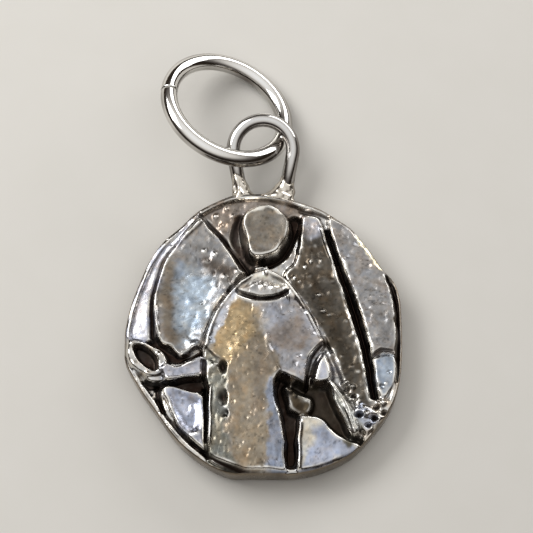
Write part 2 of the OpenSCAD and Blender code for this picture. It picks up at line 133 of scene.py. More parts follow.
# %% Room, floor and lamps
bpy.context.scene.view_settings.view_transform = "Standard"
world = bpy.data.worlds.new("studio")
bpy.context.scene.world = world
world.use_nodes = True
sky = world.node_tree
sky.nodes.clear()
way = add(sky, "ShaderNodeTexCoord")
parts = add(sky, "ShaderNodeSeparateXYZ", inputs={"Vector": way.outputs["Generated"]})
height = add(sky, "ShaderNodeValToRGB", inputs={"Fac": parts.outputs["Z"]})
# Colours from the horizon, at 0, to straight overhead, at 1
WALLS_AND_CEILING = [
    (0.0, "#40372f"), (0.34, "#231e1a"), (0.54, "#6b6663"), (0.76, "#d6d3cf"), (1.0, "#f2f3f4")]
ramp = height.color_ramp.elements
ramp[0].position, ramp[1].position = WALLS_AND_CEILING[0][0], WALLS_AND_CEILING[-1][0]
for place, _ in WALLS_AND_CEILING[1:-1]:
    ramp.new(place)
for stop, (_, code) in zip(ramp, WALLS_AND_CEILING):
    stop.color = linear(code)
glow = add(sky, "ShaderNodeBackground", inputs={"Color": height.outputs["Color"], "Strength": 1.0})
sky.links.new(glow.outputs["Background"], add(sky, "ShaderNodeOutputWorld").inputs["Surface"])


def soft_box(name, place, size, power):
    bpy.ops.object.light_add(type="AREA", location=Vector(place) * MM)
    lamp = bpy.context.object
    lamp.name = name
    lamp.data.shape = "RECTANGLE"
    lamp.data.size = size[0] * MM
    lamp.data.size_y = size[1] * MM
    lamp.data.energy = power
    lamp.rotation_mode = "QUATERNION"
    lamp.rotation_quaternion = (-Vector(place)).to_track_quat("-Z", "Y")
    return lamp


soft_box("box_upper_left", place=(-95, 60, 110), size=(110, 80), power=0.14)
soft_box("box_upper_right", place=(85, 112, 60), size=(150, 56), power=0.08)

FLOOR_SIZE = 600
bpy.ops.mesh.primitive_plane_add(size=FLOOR_SIZE * MM)
floor = bpy.context.object
floor.name = "floor"
material, tree, shader = new_material("pale_paper")
spots = add(tree, "ShaderNodeTexCoord")
mottle = add(tree, "ShaderNodeTexNoise", inputs={"Vector": spots.outputs["Object"], "Scale": per_metre(3)})
shade = add(tree, "ShaderNodeMix", {"data_type": "RGBA"}, {"Factor": mottle.outputs["Fac"]})
shade.inputs[MIX_FIRST].default_value = linear("#dad7d1")
shade.inputs[MIX_SECOND].default_value = linear("#d6d3cc")
tree.links.new(shade.outputs[MIX_RESULT], shader.inputs["Base Color"])
shader.inputs["Roughness"].default_value = 0.9
floor.data.materials.append(material)

# %% [markdown]
# The metal is cast sterling silver that was dipped in a darkening bath and rubbed bright again. The
# bath leaves brown-black oxide in the hollows. The tan and blue patches on the faces are painted
# reflections, and some patches are painted highlights and painted shade. The hollows and these
# patches are painted on the mesh's points below, and the shader reads them.

# %% Metals
CLOUD_TO_GRAIN = 6


def silver(name, rough, grain_mm, grain_depth_mm):
    material, tree, shader = new_material(name)
    place = add(tree, "ShaderNodeTexCoord").outputs["Object"]
    grain = add(tree, "ShaderNodeTexNoise", inputs={
        "Vector": place, "Scale": per_metre(grain_mm), "Detail": 4})
    cloud = add(tree, "ShaderNodeTexNoise", inputs={
        "Vector": place, "Scale": per_metre(grain_mm * CLOUD_TO_GRAIN), "Detail": 3})
    sheen = add(tree, "ShaderNodeMapRange", inputs={
        "Value": cloud.outputs["Fac"], "From Min": 0.3, "From Max": 0.7,
        "To Min": rough * 0.7, "To Max": rough * 1.4})
    bump = add(tree, "ShaderNodeBump", inputs={
        "Height": grain.outputs["Fac"], "Strength": 1.0, "Distance": grain_depth_mm * MM})
    tree.links.new(sheen.outputs["Result"], shader.inputs["Roughness"])
    tree.links.new(bump.outputs["Normal"], shader.inputs["Normal"])
    shader.inputs["Metallic"].default_value = 1.0
    # The colour comes from the mesh's points, with painted reflections, painted highlights and painted shade
    # in it
    colour_and_painted_light = add(tree, "ShaderNodeAttribute", {"attribute_name": "colour_and_painted_light"})
    tree.links.new(colour_and_painted_light.outputs["Color"], shader.inputs["Base Color"])
    return material, tree, shader, sheen, colour_and_painted_light


WIRE_GRAIN = 0.3
ring_metal = silver("polished_silver_ring_wire", rough=0.09, grain_mm=WIRE_GRAIN, grain_depth_mm=0.002)[0]
bail_metal = silver("polished_silver_bail_wire", rough=0.13, grain_mm=WIRE_GRAIN, grain_depth_mm=0.003)[0]
solder_metal = silver("melted_silver_solder", rough=0.18, grain_mm=0.15, grain_depth_mm=0.008)[0]

# The cast metal's sheen is only a factor, because how dull it is comes from the painting
OXIDE = "#2a201b"
cast_metal, tree, shader, sheen, colour_and_painted_light = silver(
    "oxidised_cast_sterling_silver", rough=1.0, grain_mm=0.09, grain_depth_mm=0.006)
patina_and_painted_shade = add(tree, "ShaderNodeAttribute", {"attribute_name": "patina_and_painted_shade"})
oxide = add(tree, "ShaderNodeMix", {"data_type": "RGBA"}, {"Factor": patina_and_painted_shade.outputs["Fac"]})
tree.links.new(colour_and_painted_light.outputs["Color"], oxide.inputs[MIX_FIRST])
oxide.inputs[MIX_SECOND].default_value = linear(OXIDE)
tree.links.new(oxide.outputs[MIX_RESULT], shader.inputs["Base Color"])
rubbed = add(tree, "ShaderNodeAttribute", {"attribute_name": "dullness"})
cast_sheen = add(tree, "ShaderNodeMath", {"operation": "MULTIPLY"})
tree.links.new(rubbed.outputs["Fac"], cast_sheen.inputs[0])
tree.links.new(sheen.outputs["Result"], cast_sheen.inputs[1])
tree.links.new(cast_sheen.outputs["Value"], shader.inputs["Roughness"])

# %% [markdown]
# Places on the medallion's face are given in the picture's own pixels and laid on the metal by one
# function. Something that stands high appears further up the picture than it is, so the function
# also takes its height.

# %% From the picture to the metal
def on_metal(pixels, z=RIM_Z):
    lean = (z - RIM_Z) / math.tan(TRACED_ELEVATION)
    return np.array([((px - FACE_CENTRE_PIXEL[0]) / PIXELS_PER_MM_ACROSS,
                      (FACE_CENTRE_PIXEL[1] - py) / PIXELS_PER_MM_ALONG - lean) for px, py in pixels])


CURVE_STEPS = 5


def curve(points, closed):
    n = len(points)
    at = (lambda i: points[i % n]) if closed else (lambda i: points[min(max(i, 0), n - 1)])
    made = []
    for i in range(n if closed else n - 1):
        a, b, c, d = at(i - 1), at(i), at(i + 1), at(i + 2)
        for k in range(CURVE_STEPS):
            t = k / CURVE_STEPS
            made.append((2 * b + (c - a) * t + (2 * a - 5 * b + 4 * c - d) * t ** 2
                         + (3 * b - 3 * c + d - a) * t ** 3) / 2)
    return np.array(made if closed else made + [points[-1]])

# %% [markdown]
# The blank is an uneven round. A square grid is added and bent to the round's outline. Once the face
# is carved, its border is extruded down in rings for the rounded edge, and the last one is filled.

# %% Outline of the blank
OUTLINE = [
    (262, 191), (240, 192), (226, 195), (198, 209), (180, 226), (163, 241), (150, 260), (140, 283),
    (132, 306), (127, 330), (125.5, 347), (129, 365), (144, 391), (158, 410), (178, 437), (199, 455),
    (220, 467), (250, 475), (290, 472), (320, 466), (351, 451), (375, 426), (389, 405), (397, 380),
    (400, 350), (400, 320), (399, 300), (394, 283), (383, 270), (375, 258), (362, 240), (352, 228),
    (338, 218), (320, 207), (300, 200), (280, 194)]
outline = curve(on_metal(OUTLINE), closed=True)
medal_low, medal_high = (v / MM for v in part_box("medallion"))
outline = np.clip(outline, np.array(medal_low)[:2], np.array(medal_high)[:2])
outline_angle = np.arctan2(outline[:, 1], outline[:, 0])
outline_reach = np.hypot(outline[:, 0], outline[:, 1])
order = np.argsort(outline_angle)


def reach(angle):
    return np.interp(angle, outline_angle[order], outline_reach[order], period=2 * math.pi)


def places(mesh):
    """Where a mesh's points are, a row for each."""
    flat = np.zeros(len(mesh.vertices) * 3)
    mesh.vertices.foreach_get("co", flat)
    return flat.reshape(-1, 3)


FACE_CELLS = 280
FACE_EDGE_IN = 0.1
bpy.ops.mesh.primitive_grid_add(x_subdivisions=FACE_CELLS, y_subdivisions=FACE_CELLS, size=2)
medallion = bpy.context.object
medallion.name = "worked_medallion"
mesh = medallion.data
square = places(mesh)
cells = round(len(square) ** 0.5) - 1
a, b = square[:, 0], square[:, 1]
# Each square round the middle becomes a round: its sides are bent to a quarter of a turn each
out = np.maximum(abs(a), abs(b))
wide = abs(a) >= abs(b)
longer, shorter = np.where(wide, a, b), np.where(wide, b, a)
slope = np.divide(shorter, longer, out=np.zeros(len(a)), where=longer != 0)
side_turn = np.where(wide, np.where(a > 0, 0, math.pi), np.where(b > 0, 1, -1) * math.pi / 2)
turn = side_turn + np.where(wide, 1, -1) * slope * math.pi / 4
span = (reach(turn) - FACE_EDGE_IN) * out
x, y = span * np.cos(turn), span * np.sin(turn)
inset = (reach(turn) - FACE_EDGE_IN) * (1 - out)
print("face points", len(square), "cells a side", cells)

# %% [markdown]
# The relief was carved in wax before it was cast. Each stroke below is one of the carver's: lift a
# form, dig a hollow, run a ridge or a groove, press a dab. A stroke only touches the points near it.
# Sculpt brushes would need a hand on the mouse, so the strokes are written out instead.

# %% The carver's strokes
GROUND_Z = 1.6
z = np.full(len(x), GROUND_Z)


def near(points, margin):
    low, high = points.min(0) - margin, points.max(0) + margin
    return np.nonzero((x > low[0]) & (x < high[0]) & (y > low[1]) & (y < high[1]))[0]


def gap(u, v, line, closed):
    """How far points lie from a line, and how far along the line that is, from 0 to 1."""
    best, along = np.full(len(u), 1e9), np.zeros(len(u))
    count = len(line) if closed else len(line) - 1
    for i in range(count):
        p, q = line[i], line[(i + 1) % len(line)]
        d = q - p
        t = np.clip(((u - p[0]) * d[0] + (v - p[1]) * d[1]) / max(d @ d, 1e-12), 0, 1)
        away = np.hypot(u - p[0] - t * d[0], v - p[1] - t * d[1])
        along = np.where(away < best, (i + t) / count, along)
        best = np.minimum(best, away)
    return best, along


def depth_in(u, v, line):
    inside = np.zeros(len(u), bool)
    for i in range(len(line)):
        p, q = line[i], line[(i + 1) % len(line)]
        if p[1] == q[1]:
            continue
        crosses = (p[1] > v) != (q[1] > v)
        inside ^= crosses & (u < p[0] + (q[0] - p[0]) * (v - p[1]) / (q[1] - p[1]))
    return np.where(inside, 1, -1) * gap(u, v, line, closed=True)[0]


def ease(t):
    t = np.clip(t, 0, 1)
    return t * t * (3 - 2 * t)


rng = np.random.default_rng(7)
LUMPS_REACH = 12


def lumps(size_mm, at=None):
    """Smooth random values from -1 to 1, one about every size_mm, on the face or at other places."""
    cells_a_side = int(2 * LUMPS_REACH / size_mm)
    lattice = rng.uniform(-1, 1, (cells_a_side + 3, cells_a_side + 3))
    across, along = (x, y) if at is None else at
    u, v = (across + LUMPS_REACH) / size_mm, (along + LUMPS_REACH) / size_mm
    i, j = np.floor(u).astype(int), np.floor(v).astype(int)
    s, t = ease(u - i), ease(v - j)
    return ((lattice[i, j] * (1 - s) + lattice[i + 1, j] * s) * (1 - t)
            + (lattice[i, j + 1] * (1 - s) + lattice[i + 1, j + 1] * s) * t)


# Where a stroke digs, it also notes how darkly the bath stains the place, and on the right flank this dark is
# painted shade
stain_and_shade = np.zeros(len(x))
# The carver's hand wavers, so every outline is read at places that are moved a little
waver_x = lumps(0.7) * 0.7 + lumps(0.25) * 0.3
waver_y = lumps(0.7) * 0.7 + lumps(0.25) * 0.3
HAND_WAVER, RUN_WAVER, DAB_WAVER = 0.06, 0.03, 0.05
# Grooves and dabs that are this deep are stained fully
DARK_GROOVE, DARK_DAB = 0.3, 0.35


def area(pixels, edge, at_z=RIM_Z, waver=HAND_WAVER):
    line = curve(on_metal(pixels, at_z), closed=True)
    who = near(line, edge + waver)
    u, v = x[who] + waver * waver_x[who], y[who] + waver * waver_y[who]
    return who, ease(depth_in(u, v, line) / edge + 0.5)


def lift(pixels, top, edge=0.16, lean=(0, 0)):
    """Raises a form to a level, which may lean across and along."""
    who, share = area(pixels, edge, top)
    middle = on_metal(pixels, top).mean(0)
    level = top + lean[0] * (x[who] - middle[0]) + lean[1] * (y[who] - middle[1])
    z[who] = np.maximum(z[who], z[who] + (level - z[who]) * share)
    stain_and_shade[who] *= 1 - share


def sink(pixels, floor_z, edge=0.16, dark=0.8):
    """Digs a hollow down to a level and stains it."""
    who, share = area(pixels, edge)
    z[who] = np.minimum(z[who], z[who] + (floor_z - z[who]) * share)
    stain_and_shade[who] = np.maximum(stain_and_shade[who], dark * share)


def cup(pixels, depth, edge, at_z=RIM_Z):
    """Presses a form in by an even depth, with a border as wide as edge."""
    who, share = area(pixels, edge, at_z)
    z[who] -= depth * share


def run(pixels, width, rise, at_z=RIM_Z):
    """A ridge or a groove along a line. Several widths share the line evenly from its start to its end."""
    widths = width if isinstance(width, tuple) else (width, width)
    line = curve(on_metal(pixels, at_z), closed=False)
    who = near(line, max(widths))
    u, v = x[who] + RUN_WAVER * waver_x[who], y[who] + RUN_WAVER * waver_y[who]
    away, along = gap(u, v, line, closed=False)
    half = np.interp(along, np.linspace(0, 1, len(widths)), widths)
    share = ease(1 - away / half)
    z[who] += rise * share
    stain_and_shade[who] = np.maximum(stain_and_shade[who], share * min(1, max(0, -rise) / DARK_GROOVE))


def dab(px, py, radius, rise, at_z=RIM_Z, narrow=1.0):
    """A round dab, or one that is narrower across."""
    centre = on_metal([(px, py)], at_z)[0]
    who = near(np.array([centre]), radius)
    u = (x[who] - centre[0]) / narrow + DAB_WAVER * waver_x[who]
    v = y[who] - centre[1] + DAB_WAVER * waver_y[who]
    share = ease(1 - np.hypot(u, v) / radius)
    z[who] += rise * share
    stain_and_shade[who] = np.maximum(stain_and_shade[who], share * min(1, max(0, -rise) / DARK_DAB))


def dabs(rows, at_z):
    """Each row is a place across and down the picture, a radius and a rise, and for some how narrow."""
    for px, py, radius, rise, *narrow in rows:
        dab(px, py, radius, rise, at_z, *narrow)

# %% [markdown]
# First come the rim and the hollows, because everything else stands above them.

# %% Rim and hollows
RIM_W = 0.22
rough_ground = 0.035 * lumps(0.5) + 0.025 * lumps(0.2)
z += (RIM_Z - GROUND_Z + 0.03 * lumps(1.2)) * ease(1.1 - abs(inset - RIM_W / 2) / RIM_W)
z += rough_ground * ease((inset - RIM_W) / RIM_W)
HEAD_HOLLOW_LEFT = [(236, 216), (243, 216), (245, 240), (250, 256), (254, 265), (247, 269), (238, 258),
                    (232, 240)]
HEAD_HOLLOW_RIGHT = [(289, 218), (297, 215), (300, 222), (294, 240), (287, 254), (277, 263), (266, 268),
                     (260, 262), (272, 257), (283, 247), (290, 233)]
RIGHT_FLANK = [(385, 270), (394, 286), (400, 304), (403, 340), (402, 372), (396, 384), (394, 362), (396, 334),
               (392, 304)]
ROBE_SLOT = [(277, 377), (288, 384), (296, 402), (297, 420), (296, 456), (290, 463), (285, 457), (283, 420),
             (277, 396)]
ARM_CAVITY = [(290, 386), (310, 386), (332, 388), (340, 404), (350, 430), (360, 440), (352, 443), (334, 436),
              (320, 418), (304, 414), (294, 412)]
BELOW_ARM = [(146, 381), (168, 382), (206, 378), (210, 388), (190, 391), (165, 388), (150, 387)]
BELOW_WING = [(147, 340), (156, 336), (164, 346), (178, 354), (190, 356), (202, 350), (202, 359), (172, 362),
              (158, 350)]
sink(HEAD_HOLLOW_LEFT, 1.3, edge=0.36, dark=0.6)
sink(HEAD_HOLLOW_RIGHT, 1.15, edge=0.24, dark=0.68)
sink(ROBE_SLOT, 1.1, dark=0.7)
sink(ARM_CAVITY, 1.2, edge=0.3, dark=0.58)
sink(BELOW_ARM, 1.25, dark=0.66)
sink(BELOW_WING, 1.35, dark=0.68)
# The dark on the right flank is painted shade, for the side of the blank in shadow
sink(RIGHT_FLANK, 1.2, edge=0.24, dark=0.68)
RIM_INSIDE_BOTTOM = [(158, 398), (170, 417), (186, 434), (206, 451), (230, 463), (254, 468)]
run(RIM_INSIDE_BOTTOM, (0.1, 0.24), -0.4)
run([(300, 208), (322, 214), (342, 224)], (0.1, 0.2), -0.2)

# %% [markdown]
# The wings have a raised edge, and the left ones are shallow dishes. On the right a groove parts the
# wing from a band.

# %% Wings
WING_Z = 1.98
LEFT_FLANK = [(199, 212), (180, 229), (164, 244), (151, 263), (141, 286), (133, 309), (128, 333), (132, 344),
              (155, 340), (158, 318), (158, 298), (162, 276), (172, 254), (188, 233)]
LEFT_WING = [(199, 216), (208, 226), (222, 240), (236, 256), (246, 270), (238, 279), (228, 291), (216, 308),
             (207, 328), (203, 346), (196, 348), (188, 354), (180, 356), (172, 347), (166, 346), (160, 340),
             (155, 312), (158, 285), (166, 262), (180, 240)]
LEFT_CUP = [(182, 262), (200, 266), (214, 280), (212, 298), (204, 322), (196, 342), (186, 350), (176, 336),
            (170, 305), (172, 278)]
RIGHT_WING = [(302, 217), (311, 214), (320, 219), (327, 240), (335, 268), (343, 295), (352, 324), (358, 345),
              (363, 376), (368, 405), (356, 404), (346, 390), (336, 370), (327, 345), (314, 324), (300, 298),
              (284, 277), (294, 262), (300, 240)]
OUTER_BAND = [(328, 217), (352, 231), (373, 259), (383, 273), (391, 292), (395, 320), (394, 350), (390, 380),
              (383, 398), (375, 397), (370, 368), (364, 332), (354, 300), (340, 262)]
BAND_PATCH = [(371, 362), (392, 358), (393, 378), (384, 394), (376, 392)]
LOWER_WING = [(167, 386), (186, 389), (206, 396), (210, 418), (209, 448), (195, 440), (180, 424), (170, 404)]
LOWER_CUP = [(174, 394), (194, 398), (201, 412), (198, 430), (188, 424), (178, 410)]
lift(LEFT_FLANK, 1.79, lean=(0.14, -0.04))
lift(LEFT_WING, WING_Z, edge=0.14)
cup(LEFT_CUP, 0.16, 1.2, WING_Z)
lift(RIGHT_WING, WING_Z - 0.06, edge=0.16, lean=(-0.03, 0))
lift(OUTER_BAND, WING_Z - 0.06, lean=(-0.05, 0))
lift(BAND_PATCH, WING_Z, edge=0.12)
lift(LOWER_WING, WING_Z - 0.04, edge=0.14)
cup(LOWER_CUP, 0.2, 0.6, WING_Z)
LEFT_EDGE = [(200, 221), (182, 239), (168, 256), (159, 281), (156, 306), (160, 338)]
LEFT_GROOVE = [(179, 241), (166, 258), (157, 282), (153, 306), (154, 338)]
LEFT_PARTING = [(199, 213), (211, 225), (224, 240), (240, 262), (248, 271)]
RIGHT_EDGE = [(321, 228), (330, 256), (340, 281), (348, 313), (359, 347), (364, 378), (368, 401)]
RIGHT_GROOVE = [(326, 229), (338, 262), (351, 300), (361, 333), (367.5, 364), (372, 396)]
LOWER_EDGE = [(165, 388), (166, 402), (170, 414), (180, 429), (192, 440)]
LOWER_GROOVE = [(159, 386), (161, 399), (165, 411)]
run(LEFT_EDGE, (0.26, 0.15), 0.16, WING_Z)
run(LEFT_GROOVE, (0.05, 0.09, 0.12, 0.2), -0.4)
run(LEFT_PARTING, (0.06, 0.12, 0.26, 0.3), -0.4, WING_Z)
run(RIGHT_EDGE, 0.15, 0.16, WING_Z)
run(RIGHT_GROOVE, (0.11, 0.2, 0.3, 0.28, 0.2), -0.6)
run(LOWER_EDGE, 0.16, 0.16)
run(LOWER_GROOVE, 0.2, -0.35)
run([(370, 358), (379, 351), (390, 352)], (0.16, 0.1), -0.2)
WING_DABS = [
    (205, 252, 0.26, 0.1), (215, 255, 0.28, 0.12), (209, 259, 0.2, -0.1), (226, 279, 0.36, 0.14),
    (238, 273, 0.3, 0.12), (231, 282, 0.2, -0.14), (196, 345, 0.34, 0.14), (214, 274, 0.14, -0.14),
    (218, 285, 0.13, -0.12), (203, 303, 0.14, -0.12), (196, 316, 0.12, -0.1), (206, 312, 0.12, -0.1),
    (185, 398, 0.16, 0.08), (193, 407, 0.14, 0.08), (198, 432, 0.4, 0.1), (378, 386, 0.2, -0.16),
    (386, 372, 0.16, -0.12), (383, 384, 0.2, 0.08), (311, 262, 0.16, 0.16), (305, 268, 0.14, 0.14),
    (318, 296, 0.16, 0.16), (323, 312, 0.2, 0.18), (328, 316, 0.14, 0.14), (294, 279, 0.2, 0.16),
    (299, 283, 0.16, 0.14), (321, 262, 0.14, 0.1), (215, 214, 0.26, 0.16), (226, 206, 0.24, 0.16),
    (232, 214, 0.18, 0.12), (221, 224, 0.2, 0.14)]
dabs(WING_DABS, WING_Z)

# %% [markdown]
# The robe falls in three faces: a front with a warm painted reflection, a left face turned to the side, and a
# narrow right one.
# The chest slopes away to the right, and the head is a raised edge with a shallow dish inside it.

# %% Robe, head and collar
ROBE_Z, HEM_Z, HEAD_Z = 2.42, 2.08, 2.56
ROBE = [(256, 271), (268, 270), (282, 277), (296, 292), (308, 311), (320, 334), (323, 343), (312, 356),
        (307, 368), (304, 384), (297, 381), (288, 376), (281, 374), (277, 380), (276, 396), (283, 420),
        (286, 458), (284, 468), (262, 470), (238, 467), (213, 457), (210, 437), (209, 390), (205, 376),
        (204, 348), (213, 317), (224, 300), (238, 284)]
ROBE_LEFT_FACE = [(205, 352), (216, 356), (228, 371), (226, 390), (230, 410), (228, 432), (231, 447),
                  (236, 468), (210, 460), (206, 400)]
ROBE_RIGHT_FACE = [(269, 386), (277, 380), (278, 396), (284, 420), (287, 458), (284, 470), (266, 470),
                   (268, 430)]
CHEST = [(262, 302), (282, 300), (300, 303), (322, 342), (308, 360), (302, 384), (290, 376), (280, 372),
         (270, 350), (266, 330)]
HEM_PANEL = [(297, 420), (304, 414), (312, 414), (322, 418), (336, 432), (357, 442), (340, 455), (318, 464),
             (297, 467)]
HEAD = [(252, 207), (266, 203), (279, 208), (288, 217), (290, 229), (285, 241), (278, 252), (266, 257),
        (250, 256), (245, 240), (242, 218)]
lift(ROBE, ROBE_Z, edge=0.24)
# Each face slopes away from its ridge: the ridge's place, and how much the face falls in a millimetre
for pixels, ridge_px, fall in [(ROBE_LEFT_FACE, 231, 0.12), (ROBE_RIGHT_FACE, 267, -0.3), (CHEST, 264, -0.1)]:
    who, share = area(pixels, 0.22, ROBE_Z)
    ridge_x = on_metal([(ridge_px, 0)])[0][0]
    z[who] -= np.maximum(0, fall * (ridge_x - x[who])) * share
lift(HEM_PANEL, HEM_Z, edge=0.18, lean=(-0.08, 0.04))
lift(HEAD, HEAD_Z, edge=0.34, lean=(-0.04, 0.03))
HEAD_RIDGE = [(244, 250), (242.5, 228), (246, 214), (254, 207), (267, 204), (279, 209)]
run(HEAD_RIDGE, (0.12, 0.2, 0.24, 0.18), 0.12, HEAD_Z)
HEAD_DISH = [(250, 214), (266, 209), (280, 216), (283, 230), (274, 246), (262, 251), (252, 246), (249, 228)]
cup(HEAD_DISH, 0.06, 0.4, HEAD_Z)
COLLAR_LEFT = [(255, 271), (238, 286), (224, 301), (214, 318), (207, 344)]
COLLAR_RIGHT = [(268, 273), (284, 281), (296, 295), (307, 313), (319, 336)]
run(COLLAR_LEFT, (0.24, 0.3), 0.16, ROBE_Z)
run(COLLAR_RIGHT, (0.26, 0.16), 0.14, ROBE_Z)
run([(255, 269), (267, 266)], (0.14, 0.22), 0.5, 2.1)
run([(267, 266), (266, 276)], (0.2, 0.14), 0.3, 2.2)
run([(240, 287), (262, 281), (282, 285)], 0.3, -0.1, ROBE_Z)
run([(212, 388), (211, 415), (211, 442)], (0.12, 0.2), 0.2, 2.2)
run([(299, 422), (298, 445), (298, 465)], (0.22, 0.16), 0.14, HEM_Z)
run([(268, 336), (269, 350), (279, 359), (277, 371)], (0.2, 0.3), 0.05, ROBE_Z)
run([(257, 350), (263, 346), (270, 351), (268, 360)], (0.16, 0.24), 0.035, ROBE_Z)
COLLAR_SLIT = [(237, 293), (248, 297), (261, 299), (275, 298), (287, 294)]
run(COLLAR_SLIT, (0.08, 0.14, 0.14, 0.09), -0.5, ROBE_Z)
run([(284, 287), (288, 301)], 0.09, 0.1, ROBE_Z)
run([(206, 388), (207, 412), (208, 440)], (0.13, 0.11, 0.08), -0.4)
run([(203, 450), (220, 461), (238, 468), (256, 472)], (0.08, 0.16, 0.2, 0.08), -0.4)
ROBE_DABS = [
    (254, 286, 0.24, 0.1), (263, 288, 0.3, 0.12), (274, 289, 0.3, 0.12), (268, 285, 0.14, -0.12),
    (223.5, 367, 0.6, -0.34, 0.55), (224, 397, 0.62, -0.26, 0.6), (226, 412, 0.24, -0.14),
    (214, 366, 0.3, 0.08), (298, 355, 0.2, -0.12), (294, 363, 0.18, -0.12), (266, 372, 0.4, 0.06),
    (240, 350, 0.8, 0.05), (250, 430, 0.9, 0.04, 0.6)]
dabs(ROBE_DABS, ROBE_Z)

# %% [markdown]
# One hand holds a bowl and the other a bunch. A few dabs stand for each, as on the real casting.

# %% Arms and hands
ARM_Z = 2.26
LEFT_ARM = [(166, 364), (178, 366), (190, 362), (203, 357), (205, 376), (186, 378), (168, 380)]
LEFT_HAND = [(125, 340), (136, 340), (155, 346), (166, 354), (170, 364), (166, 374), (154, 376), (142, 371),
             (131, 360)]
BOWL = [(137, 350), (143, 348), (153, 353), (159, 363), (157, 371), (147, 366), (140, 358)]
CUFF = [(312, 380), (314, 364), (322, 351), (328, 366), (329, 378), (320, 382)]
RIGHT_ARM = [(326, 380), (334, 384), (345, 400), (353, 414), (357, 431), (348, 434), (340, 418), (330, 398)]
RIGHT_HAND = [(352, 406), (372, 398), (387, 403), (388, 414), (378, 426), (364, 432), (354, 426)]
lift(LEFT_ARM, ARM_Z, edge=0.16, lean=(0, 0.1))
lift(LEFT_HAND, ARM_Z - 0.1, edge=0.2, lean=(0.04, 0.08))
sink(BOWL, 1.45, edge=0.14, dark=0.66)
LEFT_HAND_DABS = [
    (134, 345, 0.3, 0.12), (147, 344, 0.26, 0.1), (162, 356, 0.3, 0.12), (165, 369, 0.28, 0.1),
    (150, 374, 0.28, 0.12), (137, 364, 0.3, 0.1), (152, 366, 0.22, 0.16)]
dabs(LEFT_HAND_DABS, ARM_Z)
run([(186, 366), (200, 362)], 0.1, 0.05, ARM_Z)
run([(169, 378), (186, 377), (203, 375)], 0.12, 0.08, ARM_Z)
run([(186, 362), (196, 356), (205, 349)], 0.16, 0.3)
run([(205, 362), (205, 378)], 0.12, -0.4, ARM_Z)
lift([(142, 368), (156, 372), (170, 374), (168, 381), (152, 381)], 1.95, edge=0.2)
lift(CUFF, ARM_Z, edge=0.14)
lift(RIGHT_ARM, ARM_Z - 0.14, edge=0.24)
lift(RIGHT_HAND, ARM_Z - 0.4, edge=0.2)
run([(330, 381), (342, 403), (352, 430)], (0.14, 0.2), 0.14, 2.1)
run([(321, 343), (310, 358), (305, 384)], (0.1, 0.15), -0.55, ROBE_Z)
run([(324, 349), (315, 364), (311, 380)], (0.08, 0.13), -0.5, ROBE_Z)
PALM_Z = 2.08
PALM = [(352, 409), (362, 405), (373, 410), (378, 420), (370, 429), (361, 431), (354, 421)]
lift(PALM, PALM_Z, edge=0.22, lean=(0.04, 0.06))
BUNCH_Z = 2.0
BUNCH = [(379, 403, 0.42), (386, 412, 0.3), (350, 387, 0.3), (347, 393, 0.3), (354, 403, 0.34),
         (343, 383, 0.24), (349, 398, 0.2), (364, 414, 0.3), (372, 424, 0.26)]
BUNCH_HOLES = [(356, 414, 0.22), (372, 417, 0.28), (365.5, 425, 0.22), (382, 412, 0.2), (374.5, 406, 0.2),
               (351, 396, 0.16), (345, 388, 0.14), (358, 407, 0.12)]
BUNCH_RISE, HOLE_RISE = 0.3, -0.5
dabs([(*row, BUNCH_RISE) for row in BUNCH], BUNCH_Z)
dabs([(*row, HOLE_RISE) for row in BUNCH_HOLES], BUNCH_Z)
FOLD_Z = 1.75
FOLD = [(284, 387), (296, 391), (311, 400), (307, 413), (291, 412), (286, 399)]
lift(FOLD, FOLD_Z, edge=0.34, lean=(-0.1, 0.1))
FOLD_DABS = [
    (285, 389, 0.2, 0.2), (290, 392, 0.22, 0.22), (294, 396, 0.2, 0.16), (308, 399, 0.28, 0.14),
    (307, 400, 0.12, -0.12), (300, 407, 0.4, -0.1)]
dabs(FOLD_DABS, FOLD_Z)

# %% [markdown]
# Casting leaves the skin uneven: soft waves all over, small lumps on the wings, and pinholes on the
# robe. Last, the face is kept below the construction's top, and its border is brought down evenly.

# %% Cast skin
wing_who, wing_share = area(RIGHT_WING, 0.3, WING_Z)
band_who, band_share = area(OUTER_BAND[:6] + OUTER_BAND[10:], 0.5, WING_Z)
left_who, left_share = area(LEFT_WING, 0.3, WING_Z)
middling, small, fine = lumps(0.6), lumps(0.3), lumps(0.15)
z[wing_who] += wing_share * (0.05 * middling + 0.03 * small + 0.012 * fine)[wing_who]
z[band_who] += band_share * (0.03 * middling + 0.03 * small + 0.016 * fine)[band_who]
z[left_who] += left_share * (0.02 * middling + 0.01 * small)[left_who]
z += 0.035 * lumps(1.6) + 0.026 * lumps(0.8) + 0.012 * small + 0.007 * fine
PINHOLES = 300
robe_who, robe_share = area(ROBE, 0.2, ROBE_Z)
for spot in rng.choice(robe_who[robe_share > 0.9], PINHOLES, replace=False):
    radius = rng.uniform(0.06, 0.13)
    close = np.nonzero((abs(x - x[spot]) < radius) & (abs(y - y[spot]) < radius))[0]
    away = np.hypot(x[close] - x[spot], y[close] - y[spot])
    z[close] -= rng.uniform(0.02, 0.09) * ease(1 - away / radius)
BORDER_W = 0.1
BORDER_Z = RIM_Z - 0.04
z = np.minimum(z, medal_high[2] - 0.01)
edge_share = ease(inset / BORDER_W)
z = z * edge_share + np.minimum(z, BORDER_Z) * (1 - edge_share)

# %% [markdown]
# The grid is square, so its heights can be averaged with their neighbours again and again. Where a
# point lies lower than that average it is in a hollow, and that is where the dark oxide stays.

# %% Oxide in the hollows, and painted reflections, highlights and shade on the faces
i_of = np.rint((a + 1) / 2 * cells).astype(int)
j_of = np.rint((b + 1) / 2 * cells).astype(int)
table = np.zeros((cells + 1, cells + 1))
table[i_of, j_of] = z


def average(values, passes):
    for _ in range(passes):
        padded = np.pad(values, 1, mode="edge")
        values = (padded[:-2, 1:-1] + padded[2:, 1:-1] + padded[1:-1, :-2] + padded[1:-1, 2:] + values) / 5
    return values


